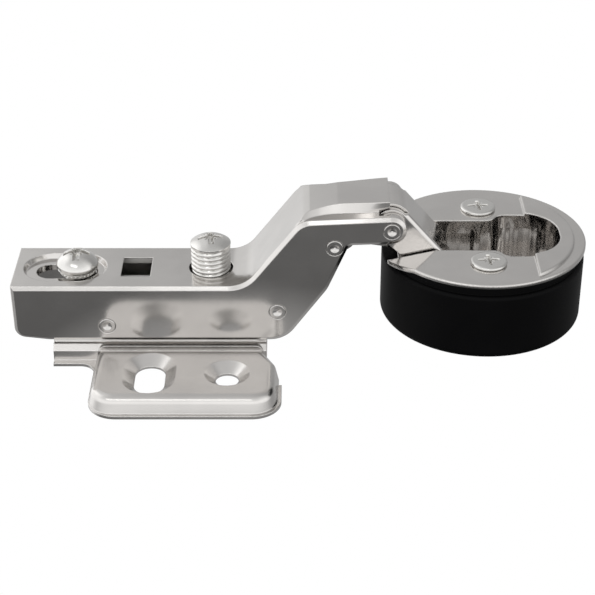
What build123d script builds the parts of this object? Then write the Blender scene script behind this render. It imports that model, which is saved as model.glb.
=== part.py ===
from build123d import *
import os
from math import acos, atan2, cos, degrees, radians, sin, sqrt, tan

# Concealed cup hinge: a cranked arm screwed to a mounting plate carries a 35 mm cup on two links.
# Origin midway between the plate's two screw holes, on its underside; +X towards the cup, +Z up.
# Drawn with the door open at a right angle. Closing turns the cup 90 degrees about -Y.

# fits, mm
run_gap = 0.05  # radial play of every part that turns on a pin or in a bore
slide_gap = 0.15  # play between pressed sheets that slide inside one another
sweep_gap = 0.3  # least air between parts that swing past each other

# mounting plate
hole_pitch = 32.0
hole_diameter = 4.0
hole_bevel_diameter = 7.9
hole_bevel_depth = 1.5
slot_x = -13.2
slot_width = 5.2
slot_length = 8.6
slot_bevel = 1.95
plate_sheet = 1.9
wing_height = 3.5
wing_half_span = 24.4
wing_left = -23.4
wing_right = 8.8
wing_corner = 4.5
wing_rounding = 1.5
wing_draft = 13.0
flange_sheet = 0.6  # low flange along the rail and round the wings' ends
flange_reach = 1.1
flange_lip = 0.5
flange_fillet = 2.6
lip_start = 15.4
groove_width = 1.9
groove_depth = 0.9
rail_rear = -30.7
rail_front = 6.6
rail_flank = 0.95
crown_height = 1.55
web_air = 0.05  # air between the rail's crown and the saddle's web

# saddle
base_behind_pin = 10.2
base_past_screw = 5.2
base_wall_height = 3.2
base_lug_radius = 2.4
base_sheet = 1.0

# arm
arm_width = 14.6
arm_sheet = 1.2
arm_rear = -37.3
arm_height = 10.2  # web's top above the rail's crown
arm_edge_drop = 0.62
arm_edge_inset = 0.45
arm_skirt = 0.45  # side walls reach this far below the rail's crown
crank_x = 2.8
crank_angle = 52.3
crank_rise = 12.55
crank_lower_radius = 5.5
crank_upper_radius = 4.0
nose_drop_end = 0.75  # the nose's side corners rise this much towards its tip
raised_lead = 1.1  # raised web: the crank's slope runs on this far past the brow
raised_bend_x = 19.0  # then two straights, by their rises above the nose's side corners
raised_bend_rise = 1.6
raised_end_rise = 1.88
raised_half = 4.95  # half-width of its foot at the tip
belly_x = 9.8
throat_x = 17.1
throat_drop = 13.05  # below the nose's side corners
chin_x = 20.7
chin_drop = 4.55
ear_radius = 2.5
ledge_end_x = 26.4
web_end_x = 27.55
window_x = -16.1
window_length = 5.1
window_width = 6.8
recess_rear = -35.9
recess_front = -21.3
recess_width = 10.0
recess_depth = 0.9
adjust_slot_rear = -33.7
adjust_slot_front = -22.9
adjust_slot_width = 5.0

# pins, riveted in the arm's side walls
pin_diameter = 2.7
rivet_diameter = 2.8
rivet_depth = 0.4
rivet_proud = 0.1
rivet_round = 0.14
rivet_dimple = 1.6
rivet_dimple_depth = 0.3
rear_pin_x = -21.0
rear_pin_height = 2.55  # above the rail's crown
rocker_pin_x = 8.53
rocker_pin_height = 5.37
nose_pin_x = 27.9
nose_pin_height = 21.0
inner_pivot_back = 9.6  # inner link's pin behind and below the nose pin
inner_pivot_down = 3.15

# four-bar: axles in the cup, from the nose pin and from each other
outer_axle_ahead = 7.8
outer_axle_down = 12.2
inner_axle_back = 1.15
inner_axle_up = 4.6
outer_axle_diameter = 2.5
inner_axle_diameter = 1.8
cup_turn = 90.0
outer_turn = 17.93
inner_turn = -8.4

# outer link
outer_link_width = 10.0
outer_link_sheet = 1.1
roll_radius = 3.4
roll_width = 7.32
link_ear_radius = 2.9
axle_ear_radius = 2.45
knee_ahead = 8.85  # outside of the link's knee, from the nose pin
knee_down = 5.05
shin_end_ahead = 10.95
shin_end_down = 9.6

# inner link
inner_link_width = 5.2
inner_link_height = 1.7
inner_eye_radius = 1.65
slot_play_along = 1.0  # play of the inner link's slotted eye on its pin
slot_play_across = 0.42
tail_length = 9.0

# cup
cup_diameter = 35.0
flange_overhang = 0.1  # flange's rim beyond the sleeve
flange_thickness = 0.7
cup_axis_ahead = 8.4  # cup axis and flange face, from the outer link's axle
flange_up = 7.7
cup_sheet = 0.8
pocket_depth = 11.5
channel_width = 11.0
pocket_width = 15.3
pocket_centre = 5.5
pocket_left = -14.0
horn_x = -8.6  # fold of the horns, where it leaves the pocket
horn_sweep = 31.0  # and its angle back from the cross direction
horn_slope = 15.0
pocket_bottom_radius = 2.0
horn_gap_depth = 2.7
crescent_x = 8.0
crescent_rim = 0.9  # flange left free outside the crescent, at its horns
crescent_end_rim = 2.0  # and at its middle
crescent_height = 0.5
crescent_rounding = 0.3
sleeve_depth = 14.4
sleeve_top = 2.4
sleeve_neck = 0.7  # step of the sleeve's neck under the flange

# screws
cup_screw_pitch = 20.0
cup_screw_head_diameter = 6.4
cup_screw_head_height = 0.75
cup_screw_diameter = 3.8
cup_screw_length = 9.5
expander_diameter = 6.4
expander_top = 3.6
fixing_x = -26.45
fixing_head_diameter = 7.3
fixing_head_height = 4.0
fixing_head_air = 0.25
fixing_shank_diameter = 4.6
adjusting_x = -3.1
adjusting_diameter = 7.0
adjusting_height = 6.2  # above the arm's web
adjusting_hole_gap = 0.35
foot_diameter = 5.0
foot_neck_diameter = 3.4
foot_thickness = 0.9
drive_depth = 1.1
drive_width = 0.85

# how far the screws let the arm travel
depth_forward = 4.5
depth_back = 0.5

# damper
damper_diameter = 6.0
damper_length = 10.2
damper_rear = -19.3
damper_height = 5.1  # axis above the rail's crown
rod_diameter = 2.0
yoke_travel = 0.6
yoke_front = 5.2
yoke_sheet = 1.6
yoke_rim = 1.1
rocker_radius = 2.5
rocker_half_width = 2.4
rocker_horn_rise = 6.2
rocker_horn_lean = 1.3

# closing spring
wire = 0.9
spring_leg = 5.6

# ---- positions that follow ----
deck = wing_height - 0.05 + crown_height
arm_top = deck + arm_height
arm_bottom = deck - arm_skirt
arm_half = arm_width / 2
arm_inner = arm_half - arm_sheet
base_half = arm_inner - slide_gap
base_floor = deck + web_air
pin_radius = pin_diameter / 2
rear_pivot = (rear_pin_x, deck + rear_pin_height)
rocker_pivot = (rocker_pin_x, deck + rocker_pin_height)
nose_pivot = (nose_pin_x, deck + nose_pin_height)
inner_pivot = (nose_pivot[0] - inner_pivot_back, nose_pivot[1] - inner_pivot_down)
outer_axle = (nose_pivot[0] + outer_axle_ahead, nose_pivot[1] - outer_axle_down)
inner_axle = (outer_axle[0] - inner_axle_back, outer_axle[1] + inner_axle_up)
cup_x = outer_axle[0] + cup_axis_ahead
cup_z = outer_axle[1] + flange_up
nose_low = arm_top + crank_rise
flange_diameter = cup_diameter + 2 * flange_overhang
brow_x = crank_x + crank_rise / tan(radians(crank_angle))


def bearing(start, end):
    """Angle in degrees of the line from start to end."""
    return degrees(atan2(end[1] - start[1], end[0] - start[0]))


def towards(start, angle, length):
    return (start[0] + length * cos(radians(angle)), start[1] + length * sin(radians(angle)))


def parallel(points, gap):
    """Open chain moved by gap to the right of its direction, with mitred corners."""
    normals = []
    for start, end in zip(points, points[1:]):
        angle = bearing(start, end)
        normals.append((sin(radians(angle)), -cos(radians(angle))))
    moved = [(points[0][0] + gap * normals[0][0], points[0][1] + gap * normals[0][1])]
    for point, first, second in zip(points[1:], normals, normals[1:]):
        share = gap / (1 + first[0] * second[0] + first[1] * second[1])
        moved.append((point[0] + share * (first[0] + second[0]), point[1] + share * (first[1] + second[1])))
    moved.append((points[-1][0] + gap * normals[-1][0], points[-1][1] + gap * normals[-1][1]))
    return moved


def cross_drive(plane, reach):
    """Cut a cross recess in the face of a screw head that looks along the plane's normal."""
    with BuildSketch(plane) as cross:
        Rectangle(reach, drive_width)
        Rectangle(drive_width, reach)
    extrude(cross.sketch, amount=-drive_depth, mode=Mode.SUBTRACT)


def turned_profile(x, y, points, dome):
    """Revolve a chain of (radius, height) points about the upright axis at x, y, closed by a domed top."""
    edge = points[-1]
    rise = dome - edge[1]
    sphere = (edge[0] ** 2 + rise**2) / (2 * rise)
    middle = (edge[0] * 0.6, dome - sphere + sqrt(sphere**2 - (edge[0] * 0.6) ** 2))
    with BuildSketch(Plane(origin=(x, y, 0), x_dir=(1, 0, 0), z_dir=(0, -1, 0))) as half:
        with BuildLine():
            Polyline((0, dome), (0, points[0][1]), *points)
            ThreePointArc(edge, middle, (0, dome))
        make_face()
    revolve(half.sketch, axis=Axis((x, y, 0), (0, 0, 1)))


# ---- mounting plate: pressed sheet, two winged feet and the rail between them ----
rail_half = arm_half + 0.1
crown_half = base_half - 0.35
bead_height = wing_height - 0.05
shoulder_y = rail_half + 5.1
flange_half = rail_half + flange_reach
slot_overshoot = 0.2  # the bevel's cutter ends this far above the wing


with BuildPart() as mounting_plate:
    with BuildSketch():
        with BuildLine():
            FilletPolyline(
                (wing_left, -wing_half_span),
                (wing_right, -wing_half_span),
                (wing_right, -shoulder_y),
                (rail_front, -rail_half - 0.8),
                (rail_front, rail_half + 0.8),
                (wing_right, shoulder_y),
                (wing_right, wing_half_span),
                (wing_left, wing_half_span),
                radius=[wing_corner, wing_corner, 2.5, 0, 0, 2.5, wing_corner, wing_corner],
                close=True,
            )
        make_face()
    extrude(amount=wing_height, taper=wing_draft)
    fillet(mounting_plate.faces().sort_by(Axis.Z)[-1].outer_wire().edges(), wing_rounding)
    # low flange along the rail, running out round the wings' ends
    lip_corner = wing_corner + flange_lip
    with BuildSketch():
        with BuildLine():
            FilletPolyline(
                (rail_rear, 0),
                (rail_rear, -flange_half),
                (wing_left, -flange_half),
                (wing_left, -wing_half_span - flange_lip),
                (wing_right + flange_lip, -wing_half_span - flange_lip),
                (wing_right + flange_lip, -lip_start),
                (rail_front - flange_lip, -lip_start),
                (rail_front - flange_lip, 0),
                radius=[0, 0, flange_fillet, lip_corner, lip_corner, 0, 0, 0],
                close=True,
            )
        make_face()
        mirror(about=Plane.XZ)
    extrude(amount=flange_sheet)
    groove_centre = rail_half + groove_width / 2
    with BuildSketch(Plane.XY.offset(wing_height)):
        with GridLocations(1, 2 * groove_centre, 1, 2):
            Rectangle(4 * wing_right + 2 * abs(wing_left), groove_width)
    extrude(amount=-groove_depth, mode=Mode.SUBTRACT)
    with BuildSketch(Plane.YZ.offset(rail_rear)):
        with BuildLine():
            Polyline(
                (0, 0),
                (flange_half, 0),
                (flange_half, flange_sheet),
                (rail_half, flange_sheet),
                (rail_half, bead_height - rail_flank),
                (rail_half - rail_flank, bead_height),
                (crown_half + 0.3, bead_height),
                (crown_half, deck),
                (0, deck),
                (0, 0),
            )
        make_face()
        mirror(about=Plane.YZ)
    extrude(amount=rail_front - rail_rear)
    # hollow underside
    wall = plate_sheet + 0.6
    with BuildSketch():
        with BuildLine():
            Polyline(
                (wing_left + wall, rail_half + 1.4),
                (wing_left + wall, wing_half_span - wall),
                (wing_right - wall, wing_half_span - wall),
                (wing_right - wall, shoulder_y),
                (rail_front - plate_sheet, rail_half + 1.4),
                (wing_left + wall, rail_half + 1.4),
            )
        make_face()
        fillet(vertices(), 1.8)
        mirror(about=Plane.XZ)
    extrude(amount=wing_height - plate_sheet, mode=Mode.SUBTRACT)
    with BuildSketch():
        with Locations(((rail_rear + rail_front) / 2, 0)):
            Rectangle(rail_front - rail_rear - 2 * plate_sheet, 2 * crown_half - 1.2)
    extrude(amount=deck - plate_sheet, mode=Mode.SUBTRACT)
    # screw holes
    bevel_angle = degrees(atan2((hole_bevel_diameter - hole_diameter) / 2, hole_bevel_depth))
    with Locations((0, 0, wing_height)):
        with GridLocations(1, hole_pitch, 1, 2):
            CounterSinkHole(hole_diameter / 2, hole_bevel_diameter / 2, counter_sink_angle=2 * bevel_angle)
    with BuildSketch(Plane.XY.offset(wing_height)):
        with Locations((slot_x, 0)):
            with GridLocations(1, hole_pitch, 1, 2):
                SlotOverall(slot_length, slot_width, rotation=90)
    extrude(amount=-wing_height, mode=Mode.SUBTRACT)
    for side in (-1, 1):
        with BuildSketch(Plane(origin=(slot_x, side * hole_pitch / 2, wing_height - hole_bevel_depth))):
            SlotOverall(slot_length, slot_width, rotation=90)
        spread = 2 * slot_bevel * (hole_bevel_depth + slot_overshoot) / hole_bevel_depth
        with BuildSketch(Plane(origin=(slot_x, side * hole_pitch / 2, wing_height + slot_overshoot))):
            SlotOverall(slot_length + spread, slot_width + spread, rotation=90)
        loft(mode=Mode.SUBTRACT)
    # threaded boss for the fixing screw, opening for the adjusting screw's foot
    with BuildSketch(Plane.XY.offset(deck - plate_sheet)):
        with Locations((fixing_x, 0)):
            Circle(fixing_shank_diameter / 2 + 1.6)
    extrude(amount=-1.8)
    with Locations((fixing_x, 0, deck)):
        Hole(fixing_shank_diameter / 2 + run_gap)
    foot_room = foot_diameter + 2 * sweep_gap
    with BuildSketch(Plane.XY.offset(deck)):
        with Locations((adjusting_x + (depth_forward - depth_back) / 2, 0)):
            SlotOverall(foot_room + depth_forward + depth_back, foot_room)
    extrude(amount=-plate_sheet, mode=Mode.SUBTRACT)

# ---- saddle under the arm: slides along the rail, carries the arm's rear pin and the adjusting screw ----
base_rear = rear_pin_x - base_behind_pin
base_front = adjusting_x + base_past_screw
base_wall_top = deck + base_wall_height
with BuildPart() as arm_base:
    with BuildSketch(Plane.YZ.offset(base_rear)):
        with BuildLine():
            FilletPolyline(
                (0, base_floor),
                (base_half, base_floor),
                (base_half, base_wall_top),
                (base_half - base_sheet, base_wall_top),
                (base_half - base_sheet, base_floor + base_sheet),
                (0, base_floor + base_sheet),
                radius=[0, 1.3, 0, 0, 0.3, 0],
                close=True,
            )
        make_face()
        mirror(about=Plane.YZ)
    extrude(amount=base_front - base_rear)
    with BuildSketch(Plane.XZ):
        with Locations(rear_pivot):
            Circle(base_lug_radius)
    extrude(amount=base_half, both=True)
    with BuildSketch(Plane.XZ.offset(-base_half + base_sheet)):
        with Locations((rear_pivot[0], base_floor + base_sheet)):
            Rectangle(5 * base_lug_radius, 5 * base_lug_radius, align=(Align.CENTER, Align.MIN))
    extrude(amount=2 * (base_half - base_sheet), mode=Mode.SUBTRACT)
    with BuildSketch(Plane.XZ):
        with Locations(rear_pivot):
            Circle(pin_radius + run_gap)
    extrude(amount=2 * base_half, both=True, mode=Mode.SUBTRACT)
    # slot that the fixing screw passes, relief under the damper's lug, bore of the adjusting screw's neck
    with BuildSketch(Plane.XY.offset(base_floor)):
        with Locations((fixing_x - (depth_forward - depth_back) / 2, 0)):
            SlotOverall(fixing_shank_diameter + 0.6 + depth_forward + depth_back, fixing_shank_diameter + 0.6)
        with Locations((rear_pivot[0], 0)):
            Rectangle(5.8, 4.2)
        with Locations((adjusting_x, 0)):
            Circle(foot_neck_diameter / 2 + run_gap)
    extrude(amount=base_sheet, mode=Mode.SUBTRACT)

# ---- arm: cranked channel with an embossed, raised nose ----
top_line = [
    (arm_rear, arm_top),
    (crank_x, arm_top),
    (brow_x, nose_low),
    (nose_pivot[0], nose_low + nose_drop_end),
]
inner_line = parallel(top_line, arm_sheet)


def nose_height(x):
    """Height of the nose's side corners at x."""
    return nose_low + nose_drop_end * (x - brow_x) / (nose_pivot[0] - brow_x)


raised_line = [
    towards(top_line[2], crank_angle, -3.5),
    towards(top_line[2], crank_angle, raised_lead),
    (raised_bend_x, nose_height(raised_bend_x) + raised_bend_rise),
    (nose_pivot[0] + 1, nose_height(web_end_x) + raised_end_rise),
]
# x, foot's half-width, lean of the flank
raised_flanks = [
    (raised_line[0][0] - 1, arm_half - 0.7, 1.3),
    (brow_x + 0.9, arm_half - 1.2, 1.1),
    (brow_x + 3.4, raised_half + 0.1, 0.6),
    (brow_x + 6.0, raised_half - 0.3, 0.35),
    (brow_x + 10.5, raised_half - 0.2, 0.2),
    (nose_pivot[0] + 1.5, raised_half, 0.15),
]


def raised_nose(inset):
    """Side profile of the raised web between flanks that stand up towards the tip, moved in by inset."""
    line = parallel(raised_line, inset)
    foot = line[0][1] - 1
    with BuildSketch(Plane.XZ) as profile:
        with BuildLine():
            FilletPolyline(
                *line,
                (line[-1][0], foot),
                (line[0][0], foot),
                radius=[0, 2.4 - inset, 5.0, 0, 0, 0],
                close=True,
            )
        make_face()
    extrude(profile.sketch, amount=arm_half - 2 * arm_edge_inset, both=True)
    flanks = []
    for x, half, lean in raised_flanks:
        low = half - inset + 4 * lean
        high = half - inset - 3 * lean
        with BuildSketch(Plane.YZ.offset(x)) as section:
            with BuildLine():
                Polyline(
                    (-low, nose_height(x) - 4),
                    (low, nose_height(x) - 4),
                    (high, nose_height(x) + 3),
                    (-high, nose_height(x) + 3),
                    (-low, nose_height(x) - 4),
                )
            make_face()
        flanks.append(section.sketch)
    loft(flanks, mode=Mode.INTERSECT)


with BuildPart() as raised_outside:
    raised_nose(0)
with BuildPart() as raised_inside:
    raised_nose(arm_sheet)

with BuildPart() as hinge_arm:
    with BuildSketch(Plane.XZ):
        with BuildLine():
            FilletPolyline(
                *top_line,
                (nose_pivot[0], nose_pivot[1] - ear_radius),
                (chin_x, nose_low - chin_drop),
                (throat_x, nose_low - throat_drop),
                (belly_x, arm_bottom),
                (arm_rear + 6.0, arm_bottom),
                (arm_rear + 0.15, arm_bottom + 0.7),
                radius=[0, crank_lower_radius, crank_upper_radius, 0, 0, 0.9, 6.0, 5.0, 4.0, 2.0],
                close=True,
            )
        make_face()
        with Locations(nose_pivot):
            Circle(ear_radius)
    extrude(amount=arm_half, both=True)
    # pressed band along the web's edges
    for side in (-1, 1):
        wall_face = hinge_arm.faces().sort_by(Axis.Y)[0 if side < 0 else -1]
        web_faces = hinge_arm.faces().filter_by(
            lambda f: f.normal_at().Z > 0.25 and f.center().X < nose_pivot[0] - 0.5
        )
        band = [e for e in wall_face.edges() if any(e.is_same(o) for f in web_faces for o in f.edges())]
        chamfer(band, length=arm_edge_drop, length2=arm_edge_inset, reference=wall_face)
    add(raised_outside.part)
    # inside of the channel
    with BuildSketch(Plane.XZ):
        with BuildLine():
            FilletPolyline(
                (inner_line[0][0] - 5, inner_line[0][1]),
                *inner_line[1:-1],
                (nose_pivot[0] + 5, inner_line[-1][1]),
                (nose_pivot[0] + 5, arm_bottom - 5),
                (inner_line[0][0] - 5, arm_bottom - 5),
                radius=[0, crank_lower_radius + arm_sheet, crank_upper_radius - arm_sheet, 0, 0, 0],
                close=True,
            )
        make_face()
    extrude(amount=arm_inner, both=True, mode=Mode.SUBTRACT)
    add(raised_inside.part, mode=Mode.SUBTRACT)
    # end of the web: the ledges stop short of the raised middle, both hollowed round the outer link
    with BuildSketch(Plane.XY.offset(nose_pivot[1] - ear_radius)):
        with Locations((ledge_end_x, 0)):
            Rectangle(10, 2 * arm_inner, align=(Align.MIN, Align.CENTER))
        with Locations((ledge_end_x - 1, 0)):
            Rectangle(
                web_end_x - ledge_end_x + 1,
                2 * raised_half + 0.2,
                align=(Align.MIN, Align.CENTER),
                mode=Mode.SUBTRACT,
            )
    extrude(amount=4 * ear_radius, mode=Mode.SUBTRACT)
    with BuildSketch(Plane.XZ):
        with Locations(nose_pivot):
            Circle(roll_radius + sweep_gap)
    extrude(amount=roll_width / 2 + sweep_gap, both=True, mode=Mode.SUBTRACT)
    with BuildSketch(Plane.XZ):
        with Locations(nose_pivot):
            Circle(link_ear_radius + sweep_gap)
    extrude(amount=arm_inner, both=True, mode=Mode.SUBTRACT)
    # embossed recess and its slot
    with BuildSketch(Plane.XY.offset(arm_top - arm_sheet)):
        with Locations(((recess_rear + recess_front) / 2, 0)):
            SlotOverall(recess_front - recess_rear + 1.0, recess_width + 1.0)
    extrude(amount=-recess_depth)
    with BuildSketch(Plane.XY.offset(arm_top)):
        with Locations(((recess_rear + recess_front) / 2, 0)):
            SlotOverall(recess_front - recess_rear, recess_width)
    extrude(amount=-recess_depth, taper=25, mode=Mode.SUBTRACT)
    with BuildSketch(Plane.XY.offset(arm_top + 1)):
        with Locations(((adjust_slot_rear + adjust_slot_front) / 2, 0)):
            SlotOverall(adjust_slot_front - adjust_slot_rear, adjust_slot_width)
        with Locations((window_x, 0)):
            Rectangle(window_length, window_width)
        with Locations((adjusting_x, 0)):
            Circle(adjusting_diameter / 2 + adjusting_hole_gap)
    extrude(amount=-arm_sheet - recess_depth - 1, mode=Mode.SUBTRACT)
    # pin holes with seats for the rivet heads
    with BuildSketch(Plane.XZ):
        with Locations(rear_pivot, rocker_pivot, inner_pivot, nose_pivot):
            Circle(pin_radius)
    extrude(amount=2 * arm_half, both=True, mode=Mode.SUBTRACT)
    for side in (-1, 1):
        with BuildSketch(Plane.XZ.offset(side * arm_half)):
            with Locations(rear_pivot, rocker_pivot, inner_pivot, nose_pivot):
                Circle(rivet_diameter / 2 + run_gap)
        extrude(amount=-side * rivet_depth, mode=Mode.SUBTRACT)


def rivet(point):
    """Pin across the arm with a dimpled head seated in each side wall."""
    x = point[0]
    seat = arm_half - rivet_depth
    crown = arm_half + rivet_proud
    head = rivet_diameter / 2
    dimple = rivet_dimple / 2
    with BuildSketch(Plane.XY.offset(point[1])) as half:
        with BuildLine():
            Polyline(
                (x, 0),
                (x + pin_radius, 0),
                (x + pin_radius, seat),
                (x + head, seat),
                (x + head, crown - rivet_round),
            )
            RadiusArc((x + head, crown - rivet_round), (x + head - rivet_round, crown), -rivet_round)
            Line((x + head - rivet_round, crown), (x + dimple, crown))
            SagittaArc((x + dimple, crown), (x - dimple, crown), rivet_dimple_depth)
            Polyline((x - dimple, crown), (x - dimple, 0), (x, 0))
        make_face()
        with Locations((x, 0)):
            Rectangle(2 * head, 4 * crown, align=(Align.MAX, Align.CENTER), mode=Mode.SUBTRACT)
        mirror(about=Plane.XZ)
    revolve(half.sketch, axis=Axis((x, 0, point[1]), (0, 1, 0)))


with BuildPart() as rear_pin:
    rivet(rear_pivot)
with BuildPart() as rocker_pin:
    rivet(rocker_pivot)
with BuildPart() as inner_link_pin:
    rivet(inner_pivot)
with BuildPart() as outer_link_pin:
    rivet(nose_pivot)

# ---- washers between the arm's ears and the outer link ----
washer_play = 0.08
washer_thickness = arm_inner - outer_link_width / 2 - washer_play


def washer(side):
    with BuildSketch(Plane.XZ.offset(side * (arm_inner - washer_thickness))) as ring:
        with Locations(nose_pivot):
            Circle(ear_radius)
            Circle(pin_radius, mode=Mode.SUBTRACT)
    extrude(ring.sketch, amount=side * washer_thickness)


with BuildPart() as link_washer_front:
    washer(1)
with BuildPart() as link_washer_rear:
    washer(-1)

# ---- outer link: folded sheet with a roll round the nose pin ----
link_half = outer_link_width / 2
link_inner = link_half - outer_link_sheet
knee = (nose_pivot[0] + knee_ahead, nose_pivot[1] - knee_down)
shin_end = (nose_pivot[0] + shin_end_ahead, nose_pivot[1] - shin_end_down)
knee_reach = sqrt(knee_ahead**2 + knee_down**2)
tangent_angle = bearing(nose_pivot, knee) + degrees(acos(roll_radius / knee_reach))
tangent_point = towards(nose_pivot, tangent_angle, roll_radius)
web_heading = bearing(tangent_point, knee)
web_start = towards(tangent_point, web_heading, 0.55)
axle_swing = cup_turn - outer_turn
swing_start = bearing(outer_axle, inner_axle) - 3
swing_radius = sqrt(inner_axle_back**2 + inner_axle_up**2)
inside_face = parallel([tangent_point, knee, shin_end], outer_link_sheet)
axle_path = CenterArc(outer_axle, swing_radius, swing_start, axle_swing + 10)
with BuildPart() as outer_link:
    with BuildSketch(Plane.XZ):
        with Locations(nose_pivot):
            Circle(link_ear_radius)
        with Locations(outer_axle):
            Circle(axle_ear_radius)
        with BuildLine():
            Polyline(
                towards(nose_pivot, web_heading + 90, link_ear_radius * 0.98),
                web_start,
                knee,
                shin_end,
                towards(outer_axle, bearing(knee, shin_end), axle_ear_radius * 0.98),
                outer_axle,
                towards(outer_axle, 132, swing_radius + 1.5),
                towards(nose_pivot, 225, link_ear_radius * 0.98),
                nose_pivot,
                towards(nose_pivot, web_heading + 90, link_ear_radius * 0.98),
            )
        make_face()
        SlotArc(axle_path, inner_axle_diameter + 2 * sweep_gap, mode=Mode.SUBTRACT)
    extrude(amount=link_half, both=True)
    with BuildSketch(Plane.XZ):
        with Locations(nose_pivot):
            Rectangle(4 * knee_reach, 4 * knee_reach)
    extrude(amount=link_inner, both=True, mode=Mode.SUBTRACT)
    with BuildSketch(Plane.XZ):
        with BuildLine():
            Polyline(
                web_start,
                knee,
                shin_end,
                inside_face[2],
                inside_face[1],
                towards(web_start, web_heading - 90, outer_link_sheet),
                web_start,
            )
        make_face()
    extrude(amount=link_half, both=True)
    upper = Vector((web_start[0] + knee[0]) / 2, 0, (web_start[1] + knee[1]) / 2)
    lower = Vector((shin_end[0] + knee[0]) / 2, 0, (shin_end[1] + knee[1]) / 2)
    outside = outer_link.edges().filter_by(
        lambda e: abs(abs(e.center().Y) - link_half) < 0.01
        and min((Vector(e.center().X, 0, e.center().Z) - middle).length for middle in (upper, lower)) < 0.6
    )
    fillet(outside, 0.8)
    with BuildSketch(Plane.XZ):
        with BuildLine():
            Polyline(
                towards(nose_pivot, web_heading + 90, roll_radius),
                towards(web_start, web_heading, 0.3),
                towards(towards(web_start, web_heading, 0.3), web_heading - 90, outer_link_sheet),
                towards(nose_pivot, web_heading + 90, roll_radius - outer_link_sheet),
                towards(nose_pivot, web_heading + 90, roll_radius),
            )
        make_face()
        with Locations(nose_pivot):
            Circle(roll_radius)
            Circle(roll_radius - outer_link_sheet - 0.2, mode=Mode.SUBTRACT)
    extrude(amount=roll_width / 2, both=True)
    with BuildSketch(Plane.XZ):
        with Locations(nose_pivot):
            Circle(pin_radius + run_gap)
        with Locations(outer_axle):
            Circle(outer_axle_diameter / 2 + run_gap)
    extrude(amount=2 * link_half, both=True, mode=Mode.SUBTRACT)

# ---- inner link: cranked strap from the arm's pin to the cup's upper axle, with a tail ----
inner_heading = bearing(inner_pivot, inner_axle)
eye_height = pin_diameter + 2 * slot_play_across
strap_low_z = nose_pivot[1] - roll_radius - sweep_gap - inner_link_height / 2 - 0.05
tail_end = towards(inner_pivot, bearing(inner_pivot, rocker_pivot), tail_length)
strap_path = FilletPolyline(
    inner_pivot,
    (nose_pivot[0] + 0.3, strap_low_z),
    (inner_axle[0] - 3.1, inner_axle[1] + 2.35),
    inner_axle,
    radius=[4.0, 2.5],
)
tail_path = Line(inner_pivot, tail_end)
with BuildPart() as inner_link:
    with BuildSketch(Plane.XZ):
        with Locations(inner_pivot):
            SlotCenterToCenter(2 * slot_play_along, eye_height + 2.0, rotation=inner_heading)
        with Locations(inner_axle):
            Circle(inner_eye_radius)
        SlotArc(strap_path.wire(), inner_link_height)
        SlotArc(tail_path, 2.0)
        with Locations(inner_pivot):
            SlotCenterToCenter(2 * slot_play_along, eye_height, rotation=inner_heading, mode=Mode.SUBTRACT)
        with Locations(inner_axle):
            Circle(inner_axle_diameter / 2 + run_gap, mode=Mode.SUBTRACT)
    extrude(amount=inner_link_width / 2, both=True)

# ---- hinge cup: deep-drawn pocket in a round flange ----
cup_plane = Plane(origin=(cup_x, 0, cup_z))
channel_half = channel_width / 2
pocket_half = pocket_width / 2
pocket_right = pocket_centre + pocket_half
swell_radius = 0.95 * (pocket_half - channel_half)
swell_x = 2.1
swell_run = (pocket_half - channel_half) / tan(radians(60.5))


def pocket_outline(margin):
    with BuildSketch(cup_plane) as outline:
        with BuildLine():
            FilletPolyline(
                (pocket_left, -channel_half),
                (swell_x, -channel_half),
                (swell_x + swell_run, -pocket_half),
                (pocket_right, -pocket_half),
                (pocket_right, pocket_half),
                (swell_x + swell_run, pocket_half),
                (swell_x, channel_half),
                (pocket_left, channel_half),
                radius=[2.0, swell_radius, swell_radius, pocket_half - 0.9, pocket_half - 0.9]
                + [swell_radius, swell_radius, 2.0],
                close=True,
            )
        make_face()
        if margin:
            offset(amount=margin)
    return outline.sketch


def beside_fold(side, points):
    """Upright face across the fold of one horn, from points of (distance past the fold, height)."""
    sweep = radians(horn_sweep)
    plane = Plane(
        origin=(cup_x + horn_x, side * channel_half, cup_z),
        x_dir=(-cos(sweep), -side * sin(sweep), 0),
        z_dir=(-sin(sweep), side * cos(sweep), 0),
    )
    with BuildSketch(plane) as face:
        with BuildLine():
            Polyline(*[(x, side * y) for x, y in points], (points[0][0], side * points[0][1]))
        make_face()
    return face.sketch


def two_horns(points):
    """Both horns' sections drawn out along their folds, clear of the channel between them."""
    for side in (-1, 1):
        extrude(beside_fold(side, points), amount=flange_diameter)
    with BuildSketch(cup_plane.offset(-pocket_depth)) as gap:
        Rectangle(2 * flange_diameter, channel_width)
    extrude(gap.sketch, amount=2 * pocket_depth, mode=Mode.SUBTRACT)


horn_run = flange_diameter / 2
horn_fall = horn_run * tan(radians(horn_slope))
with BuildPart() as horns:
    two_horns(
        [
            (0, 0),
            (horn_run, -horn_fall),
            (horn_run, -horn_fall - flange_thickness),
            (0, -flange_thickness),
        ]
    )
    with BuildSketch(cup_plane.offset(-pocket_depth)):
        Circle(flange_diameter / 2)
    extrude(amount=2 * pocket_depth, mode=Mode.INTERSECT)
with BuildPart() as over_flange:
    two_horns([(0, 0), (horn_run, -horn_fall), (horn_run, pocket_depth), (0, pocket_depth)])
with BuildPart() as over_sleeve:
    two_horns(
        [
            (0, -flange_thickness),
            (horn_run, -horn_fall - flange_thickness),
            (horn_run, pocket_depth),
            (0, pocket_depth),
        ]
    )

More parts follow.
